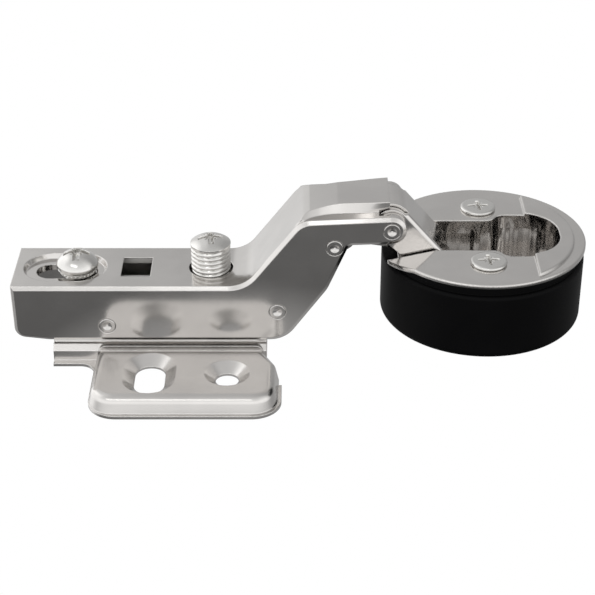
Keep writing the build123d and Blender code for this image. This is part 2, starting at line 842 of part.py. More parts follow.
with BuildPart() as hinge_cup:
    with BuildSketch(cup_plane):
        Circle(flange_diameter / 2)
    extrude(amount=-flange_thickness)
    fillet(hinge_cup.edges().group_by(Axis.Z)[-1], 0.25)
    with BuildSketch(cup_plane):
        with Locations((-crescent_end_rim, 0)):
            Circle(flange_diameter / 2)
        with Locations((crescent_x, 0)):
            Rectangle(cup_diameter, cup_diameter, align=(Align.MIN, Align.CENTER), mode=Mode.INTERSECT)
        Circle(flange_diameter / 2 - crescent_rim, mode=Mode.INTERSECT)
    extrude(amount=crescent_height)
    fillet(hinge_cup.faces().sort_by(Axis.Z)[-1].edges(), crescent_rounding)
    add(over_flange.part, mode=Mode.SUBTRACT)
    add(horns.part)
    extrude(pocket_outline(cup_sheet), amount=-pocket_depth - cup_sheet)
    fillet(hinge_cup.faces().sort_by(Axis.Z)[0].edges(), cup_sheet)
    add(over_flange.part, mode=Mode.SUBTRACT)
    extrude(pocket_outline(0), amount=-pocket_depth, mode=Mode.SUBTRACT)
    extrude(pocket_outline(0), amount=2 * crescent_height, mode=Mode.SUBTRACT)
    floor = cup_z - pocket_depth
    bottom_radius = min(pocket_bottom_radius, 0.98 * swell_radius)
    fillet(hinge_cup.edges().filter_by(lambda e: abs(e.center().Z - floor) < 0.001), bottom_radius)
    # way out for the links between the horns
    with BuildSketch(cup_plane.offset(-horn_gap_depth)):
        with Locations((pocket_left + 2.5, 0)):
            Rectangle(cup_diameter, channel_width, align=(Align.MAX, Align.CENTER))
    extrude(amount=2 * horn_gap_depth, mode=Mode.SUBTRACT)
    with BuildSketch(cup_plane):
        with GridLocations(1, cup_screw_pitch, 1, 2):
            Circle(cup_screw_diameter / 2 + run_gap)
    extrude(amount=-flange_thickness, mode=Mode.SUBTRACT)
    with BuildSketch(Plane.XZ):
        with Locations(outer_axle):
            Circle(outer_axle_diameter / 2)
        with Locations(inner_axle):
            Circle(inner_axle_diameter / 2)
    extrude(amount=channel_half + cup_sheet, both=True, mode=Mode.SUBTRACT)

# ---- expanding sleeve of black plastic round the cup ----
with BuildPart() as expanding_sleeve:
    with BuildSketch(cup_plane.offset(-sleeve_depth)):
        Circle(cup_diameter / 2)
    extrude(amount=sleeve_depth - sleeve_top)
    fillet(expanding_sleeve.edges().group_by(Axis.Z)[0], 1.3)
    fillet(expanding_sleeve.edges().group_by(Axis.Z)[-1], 0.7)
    with BuildSketch(cup_plane.offset(-flange_thickness)):
        Circle(cup_diameter / 2 - sleeve_neck)
    extrude(amount=-sleeve_top)
    add(over_sleeve.part, mode=Mode.SUBTRACT)
    extrude(pocket_outline(cup_sheet + run_gap), amount=-pocket_depth - cup_sheet, mode=Mode.SUBTRACT)
    with BuildSketch(cup_plane.offset(-horn_gap_depth)):
        with Locations((pocket_left + 2.5, 0)):
            Rectangle(cup_diameter, channel_width, align=(Align.MAX, Align.CENTER))
    extrude(amount=2 * horn_gap_depth, mode=Mode.SUBTRACT)
    with BuildSketch(cup_plane):
        with GridLocations(1, cup_screw_pitch, 1, 2):
            Circle(expander_diameter / 2)
    extrude(amount=-cup_screw_length - 1, mode=Mode.SUBTRACT)


def axle(point, diameter):
    with BuildSketch(Plane.XZ) as section:
        with Locations(point):
            Circle(diameter / 2)
    extrude(section.sketch, amount=channel_half + cup_sheet, both=True)


with BuildPart() as outer_link_axle:
    axle(outer_axle, outer_axle_diameter)
with BuildPart() as inner_link_axle:
    axle(inner_axle, inner_axle_diameter)


def expander(side):
    with BuildSketch(cup_plane.offset(-expander_top)) as ring:
        with Locations((0, side * cup_screw_pitch / 2)):
            Circle(expander_diameter / 2)
            Circle(cup_screw_diameter / 2 + run_gap, mode=Mode.SUBTRACT)
    extrude(ring.sketch, amount=-(cup_screw_length + 1 - expander_top))


with BuildPart() as expander_nut_front:
    expander(-1)
with BuildPart() as expander_nut_rear:
    expander(1)


# ---- screws ----
def cup_screw(side):
    head = cup_z + run_gap
    turned_profile(
        cup_x,
        side * cup_screw_pitch / 2,
        [
            (cup_screw_diameter / 2, cup_z - cup_screw_length),
            (cup_screw_diameter / 2, head),
            (cup_screw_head_diameter / 2, head),
            (cup_screw_head_diameter / 2, head + 0.3),
        ],
        cup_z + cup_screw_head_height,
    )
    top = Plane(origin=(cup_x, side * cup_screw_pitch / 2, cup_z + cup_screw_head_height))
    cross_drive(top, cup_screw_head_diameter * 0.55)


with BuildPart() as cup_screw_front:
    cup_screw(-1)
with BuildPart() as cup_screw_rear:
    cup_screw(1)

fixing_head = arm_top - recess_depth + fixing_head_air
with BuildPart() as fixing_screw:
    turned_profile(
        fixing_x,
        0,
        [
            (fixing_shank_diameter / 2, deck - plate_sheet - 1.6),
            (fixing_shank_diameter / 2, fixing_head),
            (fixing_head_diameter / 2, fixing_head),
            (fixing_head_diameter / 2, fixing_head + 1.6),
        ],
        fixing_head + fixing_head_height,
    )
    cross_drive(Plane(origin=(fixing_x, 0, fixing_head + fixing_head_height)), 4.2)

foot_top = base_floor - run_gap
collar = base_floor + base_sheet + run_gap
with BuildPart() as adjusting_screw:
    turned_profile(
        adjusting_x,
        0,
        [
            (foot_diameter / 2, foot_top - foot_thickness),
            (foot_diameter / 2, foot_top),
            (foot_neck_diameter / 2, foot_top),
            (foot_neck_diameter / 2, collar),
            (adjusting_diameter / 2, collar),
            (adjusting_diameter / 2, arm_top + adjusting_height - 1.25),
        ],
        arm_top + adjusting_height,
    )
    cross_drive(Plane(origin=(adjusting_x, 0, arm_top + adjusting_height)), 4.6)

# ---- damper inside the arm: cylinder on the rear pin, rod with a yoke round the adjusting screw, rocker ----
damper_z = deck + damper_height
damper_front = damper_rear + damper_length
yoke_rear = damper_front + yoke_travel + sweep_gap
yoke_low = damper_z + yoke_rim
yoke_half = arm_inner - 0.9
with BuildPart() as damper_cylinder:
    with BuildSketch(Plane.YZ.offset(damper_rear)):
        with Locations((0, damper_z)):
            Circle(damper_diameter / 2)
    extrude(amount=damper_length)
    fillet(damper_cylinder.edges().filter_by(GeomType.CIRCLE), 0.4)
    with BuildSketch(Plane.XZ):
        with Locations(rear_pivot):
            Circle(2.3)
        with BuildLine():
            Polyline(
                rear_pivot,
                (rear_pivot[0], rear_pivot[1] + 2.3),
                (damper_rear + 0.5, damper_z + 1.2),
                (damper_rear + 0.5, damper_z - 2.2),
                rear_pivot,
            )
        make_face()
    extrude(amount=1.5, both=True)
    with BuildSketch(Plane.XZ):
        with Locations(rear_pivot):
            Circle(pin_radius)
    extrude(amount=2, both=True, mode=Mode.SUBTRACT)
    with BuildSketch(Plane.YZ.offset(damper_front)):
        with Locations((0, damper_z)):
            Circle(rod_diameter / 2 + run_gap)
    extrude(amount=-damper_length + 1.5, mode=Mode.SUBTRACT)

with BuildPart() as damper_rod:
    with BuildSketch(Plane.YZ.offset(damper_rear + 1.8 + yoke_travel)):
        with Locations((0, damper_z)):
            Circle(rod_diameter / 2)
    extrude(amount=yoke_rear - damper_rear - 1.8 - yoke_travel)

with BuildPart() as damper_yoke:
    with BuildSketch(Plane.XY.offset(yoke_low)):
        with Locations((yoke_rear, 0)):
            Rectangle(yoke_front - yoke_rear, 2 * yoke_half, align=(Align.MIN, Align.CENTER))
        with Locations((yoke_rear + 1.0, 0)):
            Rectangle(
                yoke_front - yoke_rear - 2 * yoke_rim,
                2 * yoke_half - 2 * yoke_rim,
                align=(Align.MIN, Align.CENTER),
                mode=Mode.SUBTRACT,
            )
        fillet(vertices(), 0.4)
    extrude(amount=yoke_sheet)
    with BuildSketch(Plane.XY.offset(damper_z - rod_diameter / 2)):
        with Locations((yoke_rear, 0)):
            Rectangle(1.0, 3.0, align=(Align.MIN, Align.CENTER))
    extrude(amount=yoke_low + 0.5 - damper_z + rod_diameter / 2)

rocker_nose = (yoke_front + 0.4 + 0.8, rocker_pivot[1] + 2.0)
rocker_nose_path = Line(rocker_pivot, rocker_nose)
rocker_horn = (rocker_pivot[0] + rocker_horn_lean, rocker_pivot[1] + rocker_horn_rise)
rocker_horn_path = Line(rocker_pivot, rocker_horn)
with BuildPart() as damper_rocker:
    with BuildSketch(Plane.XZ):
        with Locations(rocker_pivot):
            Circle(rocker_radius)
        SlotArc(rocker_nose_path, 1.6)
        SlotArc(rocker_horn_path, 2.2)
        with Locations(rocker_pivot):
            Circle(pin_radius + run_gap, mode=Mode.SUBTRACT)
    extrude(amount=rocker_half_width, both=True)

# ---- torsion spring on the inner link's pin that snaps the door shut ----
coil_radius = pin_radius + run_gap + wire / 2
coil_pitch = 0.88 * wire
coil_middle = (inner_link_width / 2 + arm_inner) / 2
with BuildPart() as closing_spring:
    with BuildSketch(Plane(origin=(inner_pivot[0], 0, inner_pivot[1]))):
        with Locations((coil_radius, coil_middle)):
            with GridLocations(1, coil_pitch, 1, 3):
                Circle(wire / 2)
    revolve(axis=Axis((inner_pivot[0], 0, inner_pivot[1]), (0, 1, 0)))
    with BuildSketch(Plane.YZ.offset(inner_pivot[0] + wire)):
        with Locations((coil_middle - coil_pitch, inner_pivot[1] + coil_radius)):
            Circle(wire / 2)
    extrude(amount=-spring_leg - wire)

# ---- files ----
parts = {
    "mounting_plate": mounting_plate,
    "arm_base": arm_base,
    "fixing_screw": fixing_screw,
    "adjusting_screw": adjusting_screw,
    "hinge_arm": hinge_arm,
    "rear_pin": rear_pin,
    "rocker_pin": rocker_pin,
    "inner_link_pin": inner_link_pin,
    "outer_link_pin": outer_link_pin,
    "link_washer_front": link_washer_front,
    "link_washer_rear": link_washer_rear,
    "closing_spring": closing_spring,
    "damper_cylinder": damper_cylinder,
    "damper_rod": damper_rod,
    "damper_yoke": damper_yoke,
    "damper_rocker": damper_rocker,
    "outer_link": outer_link,
    "inner_link": inner_link,
    "hinge_cup": hinge_cup,
    "expanding_sleeve": expanding_sleeve,
    "outer_link_axle": outer_link_axle,
    "inner_link_axle": inner_link_axle,
    "expander_nut_front": expander_nut_front,
    "expander_nut_rear": expander_nut_rear,
    "cup_screw_front": cup_screw_front,
    "cup_screw_rear": cup_screw_rear,
}
os.makedirs("parts", exist_ok=True)
for name, builder in parts.items():
    builder.part.label = name
    export_step(builder.part, f"parts/{name}.step")
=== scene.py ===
from math import radians
import bmesh
import bpy
import numpy as np
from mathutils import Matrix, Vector


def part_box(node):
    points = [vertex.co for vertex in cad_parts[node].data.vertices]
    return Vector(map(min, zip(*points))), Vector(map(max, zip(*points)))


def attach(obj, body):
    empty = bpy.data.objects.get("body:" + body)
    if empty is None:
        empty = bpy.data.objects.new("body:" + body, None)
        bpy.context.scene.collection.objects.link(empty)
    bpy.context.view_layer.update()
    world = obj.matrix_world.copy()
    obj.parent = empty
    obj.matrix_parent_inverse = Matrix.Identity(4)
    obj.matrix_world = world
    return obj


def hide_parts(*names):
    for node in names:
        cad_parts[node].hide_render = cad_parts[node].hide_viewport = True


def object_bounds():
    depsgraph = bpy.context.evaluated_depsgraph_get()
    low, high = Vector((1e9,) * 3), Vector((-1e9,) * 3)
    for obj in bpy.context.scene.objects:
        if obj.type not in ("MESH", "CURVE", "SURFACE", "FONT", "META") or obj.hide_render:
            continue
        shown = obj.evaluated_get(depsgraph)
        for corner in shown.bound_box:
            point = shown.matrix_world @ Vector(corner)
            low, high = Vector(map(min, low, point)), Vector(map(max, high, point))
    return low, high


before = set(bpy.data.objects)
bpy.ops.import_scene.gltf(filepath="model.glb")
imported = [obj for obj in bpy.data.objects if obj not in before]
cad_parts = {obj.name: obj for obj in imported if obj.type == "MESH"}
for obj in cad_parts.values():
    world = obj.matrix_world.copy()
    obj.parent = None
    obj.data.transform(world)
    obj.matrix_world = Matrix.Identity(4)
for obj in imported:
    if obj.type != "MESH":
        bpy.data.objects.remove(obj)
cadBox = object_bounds()
mm = 0.001
print("frame loaded:", len(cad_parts), "nodes")

# camera and lamps, in mm; a lamp's power is its radiance over a plain level of 1
studio = {
    "cameraPlace": (12.0, -252.67, 156.43),
    "cameraTarget": (12.0, 0.0, 8.99),
    "lens": 100.1,
    "sensor": 36.0,
    "clipStart": 10.0,
    "lampTarget": (10.0, 0.0, 10.0),
    "lamps": {
        "frontSoftbox": {"place": (-200, -500, 620), "size": (460, 130), "power": 1.6, "mirrored": True},
        "backSoftbox": {"place": (-520, 420, 330), "size": (300, 420), "power": 1.0, "mirrored": False},
    },
}
# floor sheet, in mm; the pool is a painted reflection: a patch of the floor near the hinge that glows only in
# mirror images in the metal
floorSheet = {
    "rings": (60.0, 140.0, 300.0, 900.0),
    "around": 96,
    "drop": 0.02,
    "tone": 0.80,
    # glow of the painted reflection on the floor near the hinge
    "paintedPoolGlow": 0.44,
    "poolReach": 37.0,
    "poolFade": 20.0,
}
# the room that shows in the metal; stops are (place along the ramp, brightness)
studioRoom = {
    "level": 1.7,
    "light": 0.62,  # on rough surfaces
    "blend": 2.0,  # how fast the front turns into the back
    "behind": [
        (0.0, 0.75), (0.16, 0.9), (0.22, 0.7), (0.275, 0.5), (0.375, 0.5), (0.46, 0.345),
        (0.52, 0.325), (0.66, 0.30), (0.76, 0.25), (1.0, 0.2),
    ],
    "ahead": [
        (0.0, 0.11), (0.27, 0.1), (0.34, 0.16), (0.41, 0.64), (0.5, 0.7), (0.6, 0.78), (0.74, 0.7),
        (0.83, 0.55), (1.0, 0.4),
    ],
    "below": [(0.0, 0.25), (0.12, 0.4), (0.3, 1.0), (1.0, 1.0)],
}


def aimAt(obj, target):
    # -Z of a camera or lamp looks from its place to the target
    direction = Vector(target) - obj.location
    obj.rotation_euler = direction.to_track_quat("-Z", "Y").to_euler()


def addCamera(values):
    data = bpy.data.cameras.new("hingeCamera")
    data.lens = values["lens"]
    data.sensor_width = values["sensor"]
    data.clip_start = values["clipStart"] * mm
    camera = bpy.data.objects.new("hingeCamera", data)
    camera.location = [v * mm for v in values["cameraPlace"]]
    aimAt(camera, [v * mm for v in values["cameraTarget"]])
    bpy.context.scene.collection.objects.link(camera)
    bpy.context.scene.camera = camera


def addLamp(name, values, target):
    # area lamp; its energy is its radiance times its area times pi
    width, height = (v * mm for v in values["size"])
    data = bpy.data.lights.new(name, "AREA")
    data.shape = "RECTANGLE"
    data.size, data.size_y = width, height
    data.energy = values["power"] * width * height * np.pi
    lamp = bpy.data.objects.new(name, data)
    lamp.location = [v * mm for v in values["place"]]
    aimAt(lamp, [v * mm for v in target])
    lamp.visible_camera = False
    lamp.visible_glossy = values["mirrored"]
    bpy.context.scene.collection.objects.link(lamp)


def link(tree, source, target):
    tree.links.new(source, target)


def grey(tone):
    return (tone, tone, tone, 1.0)


def mathNode(tree, operation, first, second=None, clamp=False):
    # first and second are sockets or numbers
    node = tree.nodes.new("ShaderNodeMath")
    node.operation = operation
    node.use_clamp = clamp
    for index, value in enumerate((first, second)):
        if value is None:
            continue
        if isinstance(value, (int, float)):
            node.inputs[index].default_value = value
        else:
            link(tree, value, node.inputs[index])
    return node.outputs[0]


def scaleNode(tree, value, factor, offset, clamp=False):
    # value times factor, plus offset
    node = tree.nodes.new("ShaderNodeMath")
    node.operation = "MULTIPLY_ADD"
    node.use_clamp = clamp
    link(tree, value, node.inputs[0])
    node.inputs[1].default_value = factor
    node.inputs[2].default_value = offset
    return node.outputs[0]


def splitNode(tree, vector):
    # the three parts of a vector, by name
    node = tree.nodes.new("ShaderNodeSeparateXYZ")
    link(tree, vector, node.inputs[0])
    return node.outputs


def rampNode(tree, factor, stops):
    # stops are (place, colour or grey)
    node = tree.nodes.new("ShaderNodeValToRGB")
    ramp = node.color_ramp
    ramp.interpolation = "EASE"
    while len(ramp.elements) < len(stops):
        ramp.elements.new(0.5)
    for element, (place, tone) in zip(ramp.elements, stops):
        element.position = place
        element.color = grey(tone) if isinstance(tone, (int, float)) else (*tone, 1.0)
    link(tree, factor, node.inputs["Fac"])
    return node.outputs["Color"]


def mixShader(tree, factor, first, second):
    mix = tree.nodes.new("ShaderNodeMixShader")
    link(tree, factor, mix.inputs["Fac"])
    link(tree, first, mix.inputs[1])
    link(tree, second, mix.inputs[2])
    return mix.outputs[0]


def mirrorRays(tree, rays):
    # 1 for the rays of mirror images, otherwise 0
    return mathNode(tree, "ADD", rays.outputs["Is Glossy Ray"], rays.outputs["Is Transmission Ray"], True)


def roomTone(tree, direction, values):
    # brightness of the room in a direction, as a share of its level: behind the hinge it falls from the
    # window side (-X) to the far side, in front it follows the height, and both are multiplied by a ramp
    # that darkens what lies straight below, in the hinge's own shadow
    parts = splitNode(tree, direction)
    behind = rampNode(tree, scaleNode(tree, parts["X"], 0.5, 0.5), values["behind"])
    ahead = rampNode(tree, scaleNode(tree, parts["Z"], 0.5, 0.5), values["ahead"])
    below = rampNode(tree, scaleNode(tree, parts["Z"], 0.5, 0.5), values["below"])
    walls = tree.nodes.new("ShaderNodeMixRGB")
    link(tree, scaleNode(tree, parts["Y"], values["blend"], 0.5, True), walls.inputs["Fac"])
    link(tree, ahead, walls.inputs["Color1"])
    link(tree, behind, walls.inputs["Color2"])
    shade = tree.nodes.new("ShaderNodeMixRGB")
    shade.blend_type = "MULTIPLY"
    shade.inputs["Fac"].default_value = 1.0
    link(tree, walls.outputs[0], shade.inputs["Color1"])
    link(tree, below, shade.inputs["Color2"])
    return shade.outputs[0]


def addWorld(values):
    # white where the camera looks past the hinge, the room in mirror images, a plain grey as light
    world = bpy.data.worlds.new("studioRoom")
    bpy.context.scene.world = world
    world.use_nodes = True
    tree = world.node_tree
    tree.nodes.clear()
    out = tree.nodes.new("ShaderNodeOutputWorld")
    coord = tree.nodes.new("ShaderNodeTexCoord")
    rays = tree.nodes.new("ShaderNodeLightPath")
    room = tree.nodes.new("ShaderNodeBackground")
    link(tree, roomTone(tree, coord.outputs["Generated"], values), room.inputs["Color"])
    room.inputs["Strength"].default_value = values["level"]
    light = tree.nodes.new("ShaderNodeBackground")
    light.inputs["Color"].default_value = grey(values["light"])
    white = tree.nodes.new("ShaderNodeBackground")
    white.inputs["Color"].default_value = grey(1.0)
    seen = mixShader(tree, mirrorRays(tree, rays), light.outputs[0], room.outputs[0])
    seen = mixShader(tree, rays.outputs["Is Camera Ray"], seen, white.outputs[0])
    link(tree, seen, out.inputs["Surface"])


def floorMaterial(values):
    # white to the camera; mirror images look through it into the room, but for the pool; clear from below,
    # so that the underside can be looked at
    material = bpy.data.materials.new("paleFloor")
    material.use_nodes = True
    tree = material.node_tree
    tree.nodes.clear()
    out = tree.nodes.new("ShaderNodeOutputMaterial")
    rays = tree.nodes.new("ShaderNodeLightPath")
    diffuse = tree.nodes.new("ShaderNodeBsdfDiffuse")
    diffuse.inputs["Color"].default_value = grey(values["tone"])
    glow = tree.nodes.new("ShaderNodeEmission")
    glow.inputs["Strength"].default_value = 1.0
    clear = tree.nodes.new("ShaderNodeBsdfTransparent")
    # painted reflection: a glowing patch of floor near the hinge, seen only by mirror rays
    pool = tree.nodes.new("ShaderNodeEmission")
    pool.inputs["Strength"].default_value = values["paintedPoolGlow"]
    # the painted reflection fades from full to nothing over the last stretch of its reach
    coord = tree.nodes.new("ShaderNodeTexCoord")
    away = tree.nodes.new("ShaderNodeVectorMath")
    away.operation = "LENGTH"
    link(tree, coord.outputs["Object"], away.inputs[0])
    reach, fade = values["poolReach"] * mm, values["poolFade"] * mm
    near = scaleNode(tree, away.outputs["Value"], -1.0 / fade, reach / fade, True)
    under = tree.nodes.new("ShaderNodeNewGeometry")
    seen = mixShader(tree, rays.outputs["Is Camera Ray"], diffuse.outputs[0], glow.outputs[0])
    mirrored = mixShader(tree, near, clear.outputs[0], pool.outputs[0])
    seen = mixShader(tree, mirrorRays(tree, rays), seen, mirrored)
    seen = mixShader(tree, under.outputs["Backfacing"], seen, clear.outputs[0])
    link(tree, seen, out.inputs["Surface"])
    return material


def addFloor(values):
    # flat round sheet, rings of points round the origin: a fan in the middle, then quads
    count = values["around"]
    turn = np.linspace(0, 2 * np.pi, count, endpoint=False)
    radii = np.array(values["rings"]) * mm
    flat = np.zeros((len(radii), count))
    rings = np.stack([np.outer(radii, np.cos(turn)), np.outer(radii, np.sin(turn)), flat], -1)
    points = np.concatenate([[[0, 0, 0]], rings.reshape(-1, 3)])
    index = 1 + np.arange(len(radii) * count).reshape(len(radii), count)
    after = np.roll(index, -1, 1)
    fan = np.stack([np.zeros(count, int), index[0], after[0]], -1)
    quads = np.stack([index[:-1], index[1:], after[1:], after[:-1]], -1).reshape(-1, 4)
    mesh = bpy.data.meshes.new("floorSheet")
    mesh.from_pydata(points.tolist(), [], fan.tolist() + quads.tolist())
    mesh.materials.append(floorMaterial(values))
    floor = bpy.data.objects.new("floorSheet", mesh)
    bpy.context.scene.collection.objects.link(floor)
    floor.location.z = cadBox[0][2] - values["drop"] * mm


bpy.context.scene.view_settings.view_transform = "Standard"
addCamera(studio)
addWorld(studioRoom)
addFloor(floorSheet)
for name, values in studio["lamps"].items():
    addLamp(name, values, studio["lampTarget"])
print("studio ready")

# plated metals: rough is the range of roughness, grain multiplies the bumps, edge is the rounding in mm,
# and drawn is the height in mm below which upright waves stand in the walls
finishes = {
    "nickel": {"tone": (0.645, 0.628, 0.610), "rough": (0.10, 0.16), "grain": 0.8, "edge": 0.24},
    "satinNickel": {"tone": (0.665, 0.648, 0.630), "rough": (0.19, 0.26), "grain": 0.9, "edge": 0.24},
    "drawnNickel": {
        "tone": (0.645, 0.628, 0.610), "rough": (0.11, 0.16), "grain": 0.2, "edge": 0.45, "drawn": 20.9,
    },
    "zinc": {"tone": (0.62, 0.60, 0.58), "rough": (0.18, 0.28), "grain": 1.2, "edge": 0.2},
    "bright_zinc": {"tone": (0.70, 0.69, 0.67), "rough": (0.17, 0.23), "grain": 0.7, "edge": 0.1},
    "pin_steel": {"tone": (0.60, 0.585, 0.57), "rough": (0.14, 0.22), "grain": 0.9, "edge": 0.12},
    "spring_steel": {"tone": (0.42, 0.41, 0.40), "rough": (0.28, 0.38), "grain": 1.0, "edge": 0.1},
}
nodeFinish = {"hinge_cup": "drawnNickel", "mounting_plate": "satinNickel"}  # other nodes keep their slot's
# what all plated metals share; noises are (scale, detail, stretch), bumps are (strength, height in mm)
plating = {
    "clouds": (160.0, 3.0, (1.0, 1.0, 1.0)),
    "rolling": (900.0, 2.0, (0.06, 1.0, 1.0)),
    "grain": (5200.0, 3.0, (1.0, 1.0, 1.0)),
    "cloudTones": [(0.25, 0.965), (0.75, 1.03)],
    "roughOffset": -0.03,
    "rollingRough": 0.06,
    "rubSpread": 3.0,
    "rubPolish": 0.08,
    "rubTone": 1.18,
    "rollingBump": (0.05, 0.02),
    "grainBump": (0.06, 0.01),
}
drawing = {"waves": (380.0, 0.5, (1.0, 0.6, 0.012)), "fade": 2.0, "bump": (1.0, 1.1)}
# moulded plastics, and what they share
plastics = {
    "damper_plastic": {"tone": (0.55, 0.55, 0.54), "rough": (0.24, 0.34), "gloss": 0.5},
    "black_plastic": {"tone": (0.0025, 0.0025, 0.0028), "rough": (0.45, 0.58), "gloss": 0.07},
}
moulding = {
    "clouds": (110.0, 2.0, (1.0, 1.0, 1.0)),
    "grain": (4200.0, 3.0, (1.0, 1.0, 1.0)),
    "cloudTones": [(0.3, 0.85), (0.7, 1.2)],
    "edge": 0.2,
    "bump": (0.18, 0.03),
    "index": 1.5,
}


def noiseNode(tree, vector, scale, detail, stretch):
    mapping = tree.nodes.new("ShaderNodeMapping")
    mapping.inputs["Scale"].default_value = stretch
    link(tree, vector, mapping.inputs["Vector"])
    noise = tree.nodes.new("ShaderNodeTexNoise")
    noise.inputs["Scale"].default_value = scale
    noise.inputs["Detail"].default_value = detail
    link(tree, mapping.outputs[0], noise.inputs["Vector"])
    return noise.outputs["Fac"]


def edgeNode(tree, radius, samples=6):
    # the normal of the surface with its edges rounded by this radius in mm
    edge = tree.nodes.new("ShaderNodeBevel")
    edge.samples = samples
    edge.inputs["Radius"].default_value = radius * mm
    return edge.outputs[0]


def bumpNode(tree, height, normal, strength, distance):
    bump = tree.nodes.new("ShaderNodeBump")
    bump.inputs["Strength"].default_value = strength
    bump.inputs["Distance"].default_value = distance * mm
    link(tree, height, bump.inputs["Height"])
    link(tree, normal, bump.inputs["Normal"])
    return bump.outputs[0]


def cloudTone(tree, clouds, tone, stops):
    # the tone times a factor that follows the clouds
    return rampNode(tree, clouds, [(place, [min(1.0, c * factor) for c in tone]) for place, factor in stops])


def rubbedEdges(tree, clouds, normal):
    # how far the rounded normal leans from the face's own, times the clouds, from 0 to 1
    geometry = tree.nodes.new("ShaderNodeNewGeometry")
    facing = tree.nodes.new("ShaderNodeVectorMath")
    facing.operation = "DOT_PRODUCT"
    link(tree, normal, facing.inputs[0])
    link(tree, geometry.outputs["Normal"], facing.inputs[1])
    lean = mathNode(tree, "SUBTRACT", 1.0, facing.outputs["Value"], True)
    return mathNode(tree, "MULTIPLY", lean, mathNode(tree, "MULTIPLY", clouds, plating["rubSpread"]), True)


def drawnWaves(tree, coord, top, normal):
    # long upright waves: noise stretched along Z, only below the height top and only on upright walls
    place = coord.outputs["Object"]
    fade = drawing["fade"] * mm
    inside = scaleNode(tree, splitNode(tree, place)["Z"], -1.0 / fade, top * mm / fade, True)
    waves = mathNode(tree, "SUBTRACT", noiseNode(tree, place, *drawing["waves"]), 0.5)
    waves = mathNode(tree, "MULTIPLY", waves, inside)
    level = mathNode(tree, "ABSOLUTE", splitNode(tree, coord.outputs["Normal"])["Z"])
    waves = mathNode(tree, "MULTIPLY", waves, mathNode(tree, "SUBTRACT", 1.0, level, True))
    return bumpNode(tree, waves, normal, *drawing["bump"])


def platedSteel(name, values):
    # plated sheet: cloudy roughness, rolling lines along X, fine grain, rounded and paler edges
    material = bpy.data.materials.new(name)
    material.use_nodes = True
    tree = material.node_tree
    shader = tree.nodes["Principled BSDF"]
    shader.inputs["Metallic"].default_value = 1.0
    coord = tree.nodes.new("ShaderNodeTexCoord")
    place = coord.outputs["Object"]
    clouds = noiseNode(tree, place, *plating["clouds"])
    rolling = noiseNode(tree, place, *plating["rolling"])
    grain = noiseNode(tree, place, *plating["grain"])
    normal = edgeNode(tree, values["edge"])
    rub = rubbedEdges(tree, clouds, normal)
    low, high = values["rough"]
    rough = scaleNode(tree, clouds, high - low, low + plating["roughOffset"])
    rough = mathNode(tree, "ADD", rough, mathNode(tree, "MULTIPLY", rolling, plating["rollingRough"]))
    polish = mathNode(tree, "MULTIPLY", rub, plating["rubPolish"])
    link(tree, mathNode(tree, "SUBTRACT", rough, polish, True), shader.inputs["Roughness"])
    worn = tree.nodes.new("ShaderNodeMixRGB")
    link(tree, rub, worn.inputs["Fac"])
    link(tree, cloudTone(tree, clouds, values["tone"], plating["cloudTones"]), worn.inputs["Color1"])
    worn.inputs["Color2"].default_value = (*[min(1.0, c * plating["rubTone"]) for c in values["tone"]], 1.0)
    link(tree, worn.outputs[0], shader.inputs["Base Color"])
    strength, distance = plating["rollingBump"]
    normal = bumpNode(tree, rolling, normal, strength * values["grain"], distance)
    if "drawn" in values:
        normal = drawnWaves(tree, coord, values["drawn"], normal)
    strength, distance = plating["grainBump"]
    normal = bumpNode(tree, grain, normal, strength * values["grain"], distance)
    link(tree, normal, shader.inputs["Normal"])
    return material


def mouldedPlastic(name, values):
    # fine spark-eroded grain with slow changes of gloss
    material = bpy.data.materials.new(name)
    material.use_nodes = True
    tree = material.node_tree
    shader = tree.nodes["Principled BSDF"]
    shader.inputs["IOR"].default_value = moulding["index"]
    shader.inputs["Specular IOR Level"].default_value = values["gloss"]
    coord = tree.nodes.new("ShaderNodeTexCoord")
    clouds = noiseNode(tree, coord.outputs["Object"], *moulding["clouds"])
    grain = noiseNode(tree, coord.outputs["Object"], *moulding["grain"])
    link(tree, cloudTone(tree, clouds, values["tone"], moulding["cloudTones"]), shader.inputs["Base Color"])
    low, high = values["rough"]
    link(tree, scaleNode(tree, clouds, high - low, low), shader.inputs["Roughness"])
    normal = bumpNode(tree, grain, edgeNode(tree, moulding["edge"]), *moulding["bump"])
    link(tree, normal, shader.inputs["Normal"])
    return material


materials = {name: platedSteel(name + "Finish", values) for name, values in finishes.items()}
materials.update({name: mouldedPlastic(name + "Finish", values) for name, values in plastics.items()})
for name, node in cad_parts.items():
    for slot in node.material_slots:
        key = slot.material.name.split(".")[0] if slot.material else "nickel"
        slot.material = materials[nodeFinish.get(name, key if key in materials else "nickel")]
print("finishes on")

joining = {"merge": 1e-7, "degenerate": 1e-8, "sharpAngle": 38}  # metres, metres, degrees


def addPiece(name, body, slot, points, faces, replaced):
    # points in metres at rest; faces as index lists; equal points are merged so seams and poles close
    mesh = bpy.data.meshes.new(name)
    mesh.from_pydata(np.asarray(points, float).reshape(-1, 3).tolist(), [], faces)
    mesh.validate()
    work = bmesh.new()
    work.from_mesh(mesh)
    bmesh.ops.remove_doubles(work, verts=work.verts, dist=joining["merge"])
    bmesh.ops.dissolve_degenerate(work, dist=joining["degenerate"], edges=work.edges)
    bmesh.ops.recalc_face_normals(work, faces=work.faces)
    work.to_mesh(mesh)
    work.free()
    mesh.polygons.foreach_set("use_smooth", np.ones(len(mesh.polygons), bool))
    mesh.set_sharp_from_angle(angle=radians(joining["sharpAngle"]))
    mesh.materials.append(materials[slot])
    piece = bpy.data.objects.new(name, mesh)
    bpy.context.scene.collection.objects.link(piece)
    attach(piece, body)
    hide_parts(*replaced)


